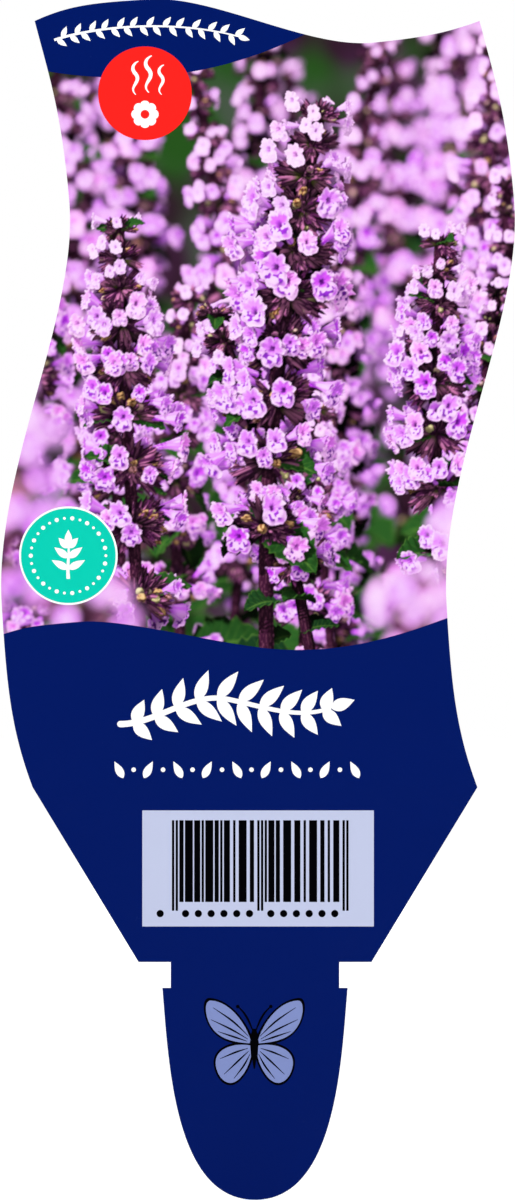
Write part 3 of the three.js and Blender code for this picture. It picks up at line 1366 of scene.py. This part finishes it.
# %% The navy fields
WAVE_LEFT_HEIGHT, WAVE_RIGHT_HEIGHT = 46.74, 49.02
wave = bezier(
    (left_at(WAVE_LEFT_HEIGHT), WAVE_LEFT_HEIGHT),
    [(-32.39, 47.76), (-32.21, 47.87), (-24.86, 48.48)],
    [(-18.01, 49.05), (-3.63, 44.63), (4.99, 44.47)],
    [(13.57, 44.32), (20.29, 46.38), (left_at(WAVE_RIGHT_HEIGHT) + HEAD_WIDTH, WAVE_RIGHT_HEIGHT)],
)
BAND_START_HEIGHT, BAND_END = 126.91, (7.12, top_at(7.12))
BAND_START = (left_at(BAND_START_HEIGHT), BAND_START_HEIGHT)
band_edge = bezier(BAND_START, [(-16.4, 124.76), (-4.66, 126.5), BAND_END])
under_wave = outline[:, 1] < np.interp(outline[:, 0], *wave.T) - HAIR
over_band = outline[:, 1] > np.interp(outline[:, 0], *band_edge.T) + HAIR
over_band &= (outline[:, 0] < BAND_END[0]) & (outline[:, 1] > TOP_CORNER_BAND)
navy_shapes = [outline_with(under_wave, wave), outline_with(over_band, band_edge)]
plates("navy-fields", navy_shapes, FIELD_FRONT, PLASTIC_FRONT, NAVY)

# %% [markdown]
# ## Small marks
#
# Everything else on the print is drawn with a few kinds of plate: a disc, a leaf with two curved sides,
# and a stroke that follows a line and tapers as a brush would. The places of names and lettering hold
# plain ornaments of the same size, weight and colour instead.


# %% Discs, strokes and leaves
def disc(x, z, radius, sides, notch=0.0, petals=0):
    """A disc. With a notch it is a flower: that share of its radius is cut in between its petals."""
    turn = np.linspace(0, 2 * math.pi, sides, endpoint=False)
    reach = radius * (1 - notch + notch * np.abs(np.cos(turn * petals / 2)) ** 0.6)
    return np.stack((x + reach * np.cos(turn), z + reach * np.sin(turn)), 1)


def stroke(line, widths):
    """The outline of a brush stroke along a line, as wide at each point as widths says."""
    line = np.asarray(line)
    run = np.gradient(line, axis=0)
    across = np.stack((-run[:, 1], run[:, 0]), 1) / np.linalg.norm(run, axis=1)[:, None]
    half = across * np.asarray(widths)[:, None] / 2
    return np.concatenate((line + half, (line - half)[::-1]))


def tapered(line, widest, thin=0.25):
    """A stroke that is widest in its middle and thins to its ends."""
    share = np.linspace(0, 1, len(line))
    return stroke(line, widest * (thin + (1 - thin) * np.sin(share * math.pi)))


def leaf(foot, angle, length, width, steps=14):
    """A pointed leaf from foot, at an angle in degrees from +X, with its belly nearer the foot."""
    share = np.linspace(0, 1, steps + 1)
    half = width / 2 * np.sin(math.pi * share**0.75)
    along = np.concatenate((share, share[-2:0:-1])) * length
    across = np.concatenate((half, -half[-2:0:-1]))
    turn = math.radians(angle)
    x = foot[0] + along * math.cos(turn) - across * math.sin(turn)
    z = foot[1] + along * math.sin(turn) + across * math.cos(turn)
    return np.stack((x, z), 1)


def moved(points, x, z, size=1.0, mirror=1):
    """Points scaled about the origin, flipped left to right where mirror is -1, and moved."""
    return np.asarray(points) * size * np.array((mirror, 1)) + np.array((x, z))


def headings(line):
    """Which way a line runs at each of its points, in degrees from +X."""
    run = np.gradient(line, axis=0)
    return np.degrees(np.arctan2(run[:, 1], run[:, 0]))


print("a leaf has", len(leaf((0, 0), 45, 2, 1)), "points")

# %% [markdown]
# A leafy vine runs along the navy lens, where such labels carry a line of small lettering. It could be
# drawn leaf by leaf, but a curve with leaves set along it keeps them evenly spaced and turns each one
# with the stem.


# %% The vine on the band
VINE_LEAF, VINE_LEAF_WIDTH = 1.75, 0.78
VINE_LEAVES = 26
VINE_LEAN = 52  # how far a leaf leans out from the stem, in degrees
vine_line = bezier((-28.6, 131.4), [(-21.5, 133.7), (-10.5, 134.1), (-2.4, 131.9)], steps=60)


def vine():
    """A thin stem with leaves that point forward, in turn above it and below it."""
    shapes = [stroke(vine_line, np.linspace(0.36, 0.20, len(vine_line)))]
    forward = headings(vine_line)
    for i in range(VINE_LEAVES):
        at = int((i + 0.7) / VINE_LEAVES * (len(vine_line) - 1))
        lean = VINE_LEAN if i % 2 else -VINE_LEAN
        shapes.append(leaf(vine_line[at], forward[at] + lean, VINE_LEAF, VINE_LEAF_WIDTH))
    shapes.append(leaf(vine_line[-1], -18, VINE_LEAF, VINE_LEAF_WIDTH))
    return shapes


plates("band-vine", vine(), MARK_FRONT, FIELD_FRONT, WHITE)

# %% [markdown]
# The red disc says that the flowers are scented. A white flower with a round eye stands on it, with
# three curls of scent above it. One curl is drawn and used three times. The flower is a disc whose edge
# is notched, and its eye is a smaller disc laid on it, since a hole would need a plate of another kind.

# %% The red disc
DISC_X, DISC_Z, DISC_RADIUS = -15.68, 123.8, 6.67
FLOWER_Z, FLOWER_RADIUS, EYE_RADIUS = DISC_Z - 3.0, 1.95, 0.62
CURL_WIDTH = 0.55
# how far right of the disc's middle each curl starts, how far above it, and its size
CURLS = ((-1.5, -0.2, 0.95), (0.35, 0.1, 1.05), (2.2, -0.2, 0.85))


def scent_curls():
    """Three rising curls, as strokes, over the flower."""
    lower, upper = [(-1.1, 1.2), (1.3, 1.9), (0.1, 3.2)], [(-0.6, 4.0), (-0.1, 4.7), (0.6, 5.0)]
    curl = tapered(bezier((0.2, 0.0), lower, upper), CURL_WIDTH)
    return [moved(curl, DISC_X + right, DISC_Z + above, size) for right, above, size in CURLS]


red_disc = disc(DISC_X, DISC_Z, DISC_RADIUS, 96)
plates("scent-disc", [red_disc], DISC_FRONT, PLASTIC_FRONT, RED)
scent_flower = disc(DISC_X, FLOWER_Z, FLOWER_RADIUS, 96, notch=0.16, petals=8)
plates("scent-flower", [scent_flower, *scent_curls()], MARK_FRONT, FIELD_FRONT, WHITE)
plates("scent-flower-eye", [disc(DISC_X, FLOWER_Z, EYE_RADIUS, 32)], BAR_FRONT, MARK_FRONT, RED)

# %% [markdown]
# The teal badge sits in the picture's lower corner like a seal. It has a thin white rim, a ring of dots
# and a leafy shoot. The rim could be cut as a ring, but a white disc with a smaller teal one on it looks
# the same, and there is no seam where the two could part.

# %% The teal badge
BADGE_X, BADGE_Z, BADGE_RADIUS = -26.6, 57.9, 6.75
BADGE_RIM = 0.28
BADGE_DOTS, BADGE_RING = 30, 5.35  # how many dots, and how far from the middle
BADGE_LEAF_WIDTH = 1.05
BADGE_LEAVES = ((-1.9, 2.7, 62), (-0.3, 2.5, 53), (1.1, 2.0, 44))  # height, length and lean of a pair


def badge_marks():
    """A ring of dots round a shoot with three pairs of leaves."""
    shapes = []
    for i in range(BADGE_DOTS):
        turn = 2 * math.pi * i / BADGE_DOTS
        x, z = BADGE_X + BADGE_RING * math.cos(turn), BADGE_Z + BADGE_RING * math.sin(turn)
        shapes.append(disc(x, z, 0.3 if i % 2 else 0.2, 16))
    stem = moved(bezier((0, -3.3), [(-0.2, -1), (0.2, 0), (0, 1.6)]), BADGE_X, BADGE_Z)
    shapes.append(stroke(stem, np.linspace(0.5, 0.28, len(stem))))
    for above, length, lean in BADGE_LEAVES:
        for side in (-lean, lean):
            shapes.append(leaf((BADGE_X, BADGE_Z + above), 90 + side, length, BADGE_LEAF_WIDTH))
    shapes.append(leaf((BADGE_X, BADGE_Z + 1.5), 90, 2.2, BADGE_LEAF_WIDTH))
    return shapes


rim_disc = disc(BADGE_X, BADGE_Z, BADGE_RADIUS + BADGE_RIM, 96)
plates("badge-rim", [rim_disc], FIELD_FRONT, PLASTIC_FRONT, WHITE)
teal_disc = disc(BADGE_X, BADGE_Z, BADGE_RADIUS, 96)
plates("badge", [teal_disc], BADGE_FRONT, FIELD_FRONT, TEAL)
plates("badge-marks", badge_marks(), MARK_FRONT, BADGE_FRONT, WHITE)

# %% [markdown]
# The plant's name would stand large and white on the navy, with a smaller line under it. A sprig of the
# same height and stroke takes the first place and a row of seeds the second.

# %% The sprig and the seeds
SPRIG_STROKE = 0.9
SPRIG_NODES = 10
SPRIG_LEAF_WIDTH, SPRIG_LEAN = 1.8, 54
sprig_line = bezier(
    (-19.2, 33.9),
    [(-14.2, 33.9), (-9.2, 38.4), (-4.2, 37.5)],
    [(0.8, 36.6), (5.8, 34.4), (10.8, 36.2)],
    steps=40,
)


def sprig():
    """A waving stem with pairs of leaves, largest in its middle, and one more leaf at its end."""
    widths = np.linspace(SPRIG_STROKE, SPRIG_STROKE * 0.6, len(sprig_line))
    shapes = [stroke(sprig_line, widths), disc(*sprig_line[0], SPRIG_STROKE / 2, 20)]
    forward = headings(sprig_line)
    for i in range(SPRIG_NODES):
        share = (i + 0.7) / SPRIG_NODES
        at = int(share * (len(sprig_line) - 1))
        length = 3.3 + 1.5 * math.sin(share * math.pi)
        for lean in (-SPRIG_LEAN, SPRIG_LEAN):
            shapes.append(leaf(sprig_line[at], forward[at] + lean, length, SPRIG_LEAF_WIDTH))
    shapes.append(leaf(sprig_line[-1], forward[-1], 3.6, SPRIG_LEAF_WIDTH))
    return shapes


SEED_ROW_LEFT, SEED_ROW_RIGHT, SEED_ROW_Z = -19.4, 14.2, 27.4
SEEDS = 17
SEED_LENGTH, SEED_WIDTH, SEED_DOT = 2.7, 1.15, 0.33


def seed_row():
    """Small pointed seeds, leaning in turn to either side, with a dot between them."""
    shapes = []
    for i in range(SEEDS):
        x = SEED_ROW_LEFT + (SEED_ROW_RIGHT - SEED_ROW_LEFT) * i / (SEEDS - 1)
        if i % 2:
            shapes.append(disc(x, SEED_ROW_Z, SEED_DOT, 20))
        else:
            lean = 62 if i % 4 else 118
            right, above = math.cos(math.radians(lean)), math.sin(math.radians(lean))
            foot = (x - SEED_LENGTH / 2 * right, SEED_ROW_Z - SEED_LENGTH / 2 * above)
            shapes.append(leaf(foot, lean, SEED_LENGTH, SEED_WIDTH))
    return shapes


plates("name-sprig", sprig(), MARK_FRONT, FIELD_FRONT, WHITE)
plates("seed-row", seed_row(), MARK_FRONT, FIELD_FRONT, WHITE)

# %% [markdown]
# A till's bar symbol is bars of one to four modules on a pale panel, with longer guard bars at its ends
# and in its middle. These widths come from a formula, so the bars look right and encode nothing. A row
# of dots stands where such a symbol has its digits.

# %% The panel and its bars
PANEL_LEFT, PANEL_RIGHT, PANEL_FOOT, PANEL_TOP = -16.06, 16.93, 5.06, 21.6
BARS_LEFT, BARS_RIGHT, BARS_FOOT, BARS_TOP = -11.8, 13.3, 8.55, 20.2
GUARD_FOOT = 7.3
MODULES = 95
INK_SPREAD = 0.04  # how far the ink runs past each side of a bar
GOLDEN = (math.sqrt(5) - 1) / 2
GUARDS = (0, 2, 46, 48, 92, 94)
HALF_MODULES = 46
HALVES = ((4, 45, 1.5), (50, 91, 2.3))  # where a half starts and ends, and how far its gaps vary
DOT_START, DOT_GAP = 7.2, 6.9  # in modules
DOT_Z, DOT_RADIUS = 6.9, 0.52


def upright_box(left, right, foot, top):
    return np.array(((left, foot), (right, foot), (right, top), (left, top)))


def bar_modules():
    """Where the bars start and how wide they are, in modules, with a foot height for each."""
    bars = [(start, 1, GUARD_FOOT) for start in GUARDS]
    for first, end, widest_gap in HALVES:
        at, count = first, 1
        while at < end:
            width = min(1 + int(4 * ((count * GOLDEN + first * 0.17) % 1)), end - at)
            bars.append((at, width, BARS_FOOT))
            at += width + 1 + int(widest_gap * ((count * GOLDEN * 1.7 + 0.31) % 1))
            count += 1
    return bars


def digit_dots():
    """One dot before the bars and six under each half of them."""
    modules = [-6.5]
    for half in (0, HALF_MODULES):
        modules.extend(half + DOT_START + DOT_GAP * i for i in range(6))
    return [disc(BARS_LEFT + at * module, DOT_Z, DOT_RADIUS, 20) for at in modules]


module = (BARS_RIGHT - BARS_LEFT) / MODULES
bar_shapes = []
for start, width, foot in bar_modules():
    left = BARS_LEFT + start * module - INK_SPREAD
    right = BARS_LEFT + (start + width) * module + INK_SPREAD
    bar_shapes.append(upright_box(left, right, foot, BARS_TOP))
panel = upright_box(PANEL_LEFT, PANEL_RIGHT, PANEL_FOOT, PANEL_TOP)
plates("bar-panel", [panel], MARK_FRONT, FIELD_FRONT, PALE_BLUE)
plates("bars", [*bar_shapes, *digit_dots()], BAR_FRONT, MARK_FRONT, BLACK)
print("module:", round(module, 3), "mm,", len(bar_shapes), "bars")

# %% [markdown]
# A small emblem in two inks closes the tongue: a butterfly in mid blue with dark lines. The dark rim of
# a wing could be a stroke round it. A black wing with a smaller blue one on it leaves no gaps at the
# tight corners, so the emblem is built up that way, with the veins and the body on top.

# %% The butterfly
EMBLEM_X, EMBLEM_Z = -0.1, -11.8
LINE_WIDTH, VEIN_WIDTH, FEELER_WIDTH = 0.34, 0.26, 0.3
WING_REACH = 5.5
fore_wing = bezier(
    (0.3, 0.6),
    [(1.2, 3.4), (3.6, 6.4), (6.3, 6.5)],
    [(7.3, 6.5), (7.2, 4.6), (6.6, 3.2)],
    [(5.8, 1.4), (4.2, 0.2), (0.4, 0.0)],
    steps=14,
)
hind_wing = bezier(
    (0.4, 0.1),
    [(2.6, 0.5), (5.2, -0.2), (5.6, -2.0)],
    [(5.9, -3.4), (4.9, -5.6), (3.4, -5.6)],
    [(2.0, -5.6), (0.7, -3.4), (0.3, -1.6)],
    steps=14,
)
feeler = bezier((0.2, 1.9), [(0.7, 3.4), (1.3, 4.6), (2.3, 5.4)], steps=10)
WING_VEINS = (
    ((0.8, 1.2), (3.0, 3.4), (5.9, 5.3)),
    ((0.9, 0.8), (3.2, 2.2), (6.2, 3.6)),
    ((1.0, 0.5), (2.8, 1.1), (5.2, 1.9)),
    ((0.9, -0.5), (2.6, -1.0), (4.9, -2.0)),
    ((0.8, -0.9), (2.2, -2.2), (4.3, -4.2)),
    ((0.6, -1.3), (1.4, -2.9), (2.9, -4.8)),
)


def wing_shapes(line_width):
    """Both pairs of wings, each grown by half the width of the dark line round it, or shrunk by it."""
    shapes = []
    for mirror in (-1, 1):
        for wing in (fore_wing, hind_wing):
            middle = wing.mean(0)
            sized = (wing - middle) * (1 + line_width / WING_REACH) + middle
            shapes.append(moved(sized, EMBLEM_X, EMBLEM_Z, mirror=mirror))
    return shapes


def wing_lines(mirror):
    """The veins of one pair of wings, and a feeler."""
    curves = [bezier(foot, [bend, bend, end], steps=8) for foot, bend, end in WING_VEINS]
    lines = [tapered(curve, VEIN_WIDTH) for curve in curves]
    lines.append(tapered(feeler, FEELER_WIDTH, 0.5))
    lines.append(disc(2.35, 5.45, 0.26, 14))  # the knob at the feeler's end
    return [moved(line, EMBLEM_X, EMBLEM_Z, mirror=mirror) for line in lines]


body_line = np.array(((0, 2.3), (0, 1.6), (0, 0.6), (0, -0.8), (0, -2.4), (0, -3.4)))
body = moved(stroke(body_line, (0.45, 0.95, 0.8, 0.75, 0.5, 0.2)), EMBLEM_X, EMBLEM_Z)
plates("butterfly-rims", wing_shapes(LINE_WIDTH), MARK_FRONT, FIELD_FRONT, BLACK)
plates("butterfly-wings", wing_shapes(-LINE_WIDTH), WING_FRONT, MARK_FRONT, MID_BLUE)
butterfly_lines = [*wing_lines(-1), *wing_lines(1), body]
plates("butterfly-lines", butterfly_lines, BAR_FRONT, WING_FRONT, BLACK)

# %% [markdown]
# ## Light, floor and camera
#
# Flat prints are copied on a stand: two large soft lights, well out to the sides, light the sheet
# evenly, and their reflections leave to the other side, so the blacks stay black. A third light behind
# shows the plain back from its own side. The camera sees a near-white surround, but the surround gives
# the label only a little light, or its reflection would lie over the ink as a grey veil.

# %% Lights
LIGHT_DISTANCE = 0.9
LIGHT_SIZE = 0.7
FRONT_POWER = 3.95
BACK_POWER = 4.3
LIGHT_TARGET = Vector((0, 0, 0.05))


def softbox(name, azimuth, elevation, power):
    """A square soft light at that angle round the label, which itself stays out of every picture."""
    light = bpy.data.lights.new(name, "AREA")
    light.size = LIGHT_SIZE
    light.energy = power
    lamp = bpy.data.objects.new(name, light)
    around, above = math.radians(azimuth), math.radians(elevation)
    out = math.cos(above)
    towards = Vector((math.sin(around) * out, -math.cos(around) * out, math.sin(above)))
    lamp.location = LIGHT_TARGET + towards * LIGHT_DISTANCE
    lamp.rotation_mode = "QUATERNION"
    lamp.rotation_quaternion = (-towards).to_track_quat("-Z", "Y")
    lamp.visible_camera = False
    bpy.context.scene.collection.objects.link(lamp)


softbox("left-softbox", -50, 20, FRONT_POWER)
softbox("right-softbox", 50, 20, FRONT_POWER)
softbox("back-softbox", 160, 40, BACK_POWER)
print("lights:", 3)


# %% The surround
SEEN_WHITE = 1.0
GIVEN_LIGHT = 0.12


def surround():
    """Near white to the camera, and a dim even fill to everything else."""
    world = bpy.data.worlds.new("surround")
    world.use_nodes = True
    bpy.context.scene.world = world
    tree = world.node_tree
    background = tree.nodes["Background"]
    seen = Wire(tree, tree.nodes.new("ShaderNodeLightPath").outputs["Is Camera Ray"])
    strength = seen * (SEEN_WHITE - GIVEN_LIGHT) + GIVEN_LIGHT
    strength.into(background, "Strength")
    background.inputs["Color"].default_value = (1, 1, 1, 1)


surround()
print("surround:", SEEN_WHITE, "seen,", GIVEN_LIGHT, "given")

# %% [markdown]
# A label that hangs in mid-air gives no sense of its size or place. A pale round floor, level with the
# tongue's tip, takes its soft shadow. A plain white disc would show an edge against the surround, so the
# floor glows a little more the further out it is, until the two melt together.

# %% The floor
FLOOR_RADIUS = 3.0
NEAR_GLOW, FAR_GLOW = 0.45, 0.95  # the floor's own light, by the label and far from the lamps
GLOW_START, GLOW_END = 350.0, 1100.0  # how far out it changes from one to the other, in millimetres


def grey(level):
    """A grey as bright as a wire says."""
    return level.node("CombineColor", {0: level, 1: level, 2: level})


def pale_floor():
    """A round pale floor, level with the tongue's tip. It glows outwards and melts into the surround."""
    shape = bmesh.new()
    bmesh.ops.create_circle(shape, cap_ends=True, segments=96, radius=FLOOR_RADIUS)
    bmesh.ops.translate(shape, vec=(0, 0, LOW[2] * MM), verts=shape.verts)
    mesh = bpy.data.meshes.new("floor")
    shape.to_mesh(mesh)
    shape.free()
    material, shader, point = new_finish("floor_paint")
    grey(noise(point, 0.01) * 0.03 + 0.87).into(shader, "Base Color")
    shader.inputs["Roughness"].default_value = 0.9
    far_out = point.node("VectorMath", {0: point}, output=1, operation="LENGTH")
    glow = stepped(far_out, GLOW_START, GLOW_END) * (FAR_GLOW - NEAR_GLOW) + NEAR_GLOW
    grey(glow).into(shader, "Emission Color")
    shader.inputs["Emission Strength"].default_value = 1.0
    mesh.materials.append(material)
    floor = bpy.data.objects.new("floor", mesh)
    floor.visible_glossy = False  # its reflection would lie over the ink as a grey veil
    bpy.context.scene.collection.objects.link(floor)


pale_floor()
print("floor at z =", round(float(LOW[2]), 2), "mm")

# %% [markdown]
# The print has to be seen square on and without perspective, as from a copy stand. An orthographic
# camera would do that, but it would also flatten the views from the side. A long lens at some distance
# shows the front almost as flat and keeps the other views natural.

# %% The camera
CAMERA_DISTANCE = 0.9
FRAME_COLUMNS, FRAME_ROWS = 515, 1200
FRAME_CENTRE = Vector((0.356, 0, 51.585)) * MM
FRAME_HEIGHT = 171.0 * MM  # what the frame's height takes in, at the label
SENSOR = 36.0


def copy_camera():
    """A long lens that looks straight at the print.

    The sensor's height sets the lens. Its width is stated as if it were the long side, so that a view
    from elsewhere is fitted to the label's height, and the narrow label still fills its frame.
    """
    data = bpy.data.cameras.new("camera")
    data.sensor_fit = "VERTICAL"
    data.sensor_height = SENSOR
    data.sensor_width = SENSOR * FRAME_ROWS / FRAME_COLUMNS
    data.lens = SENSOR * (CAMERA_DISTANCE + FIELD_FRONT * MM) / FRAME_HEIGHT
    data.clip_start = 0.05
    data.clip_end = 20
    camera = bpy.data.objects.new("camera", data)
    camera.location = FRAME_CENTRE + Vector((0, -CAMERA_DISTANCE, 0))
    camera.rotation_euler = (math.radians(90), 0, 0)
    bpy.context.scene.collection.objects.link(camera)
    bpy.context.scene.camera = camera
    return data


lens = copy_camera().lens
bpy.context.scene.view_settings.view_transform = "Standard"
print("lens:", round(lens, 1), "mm")
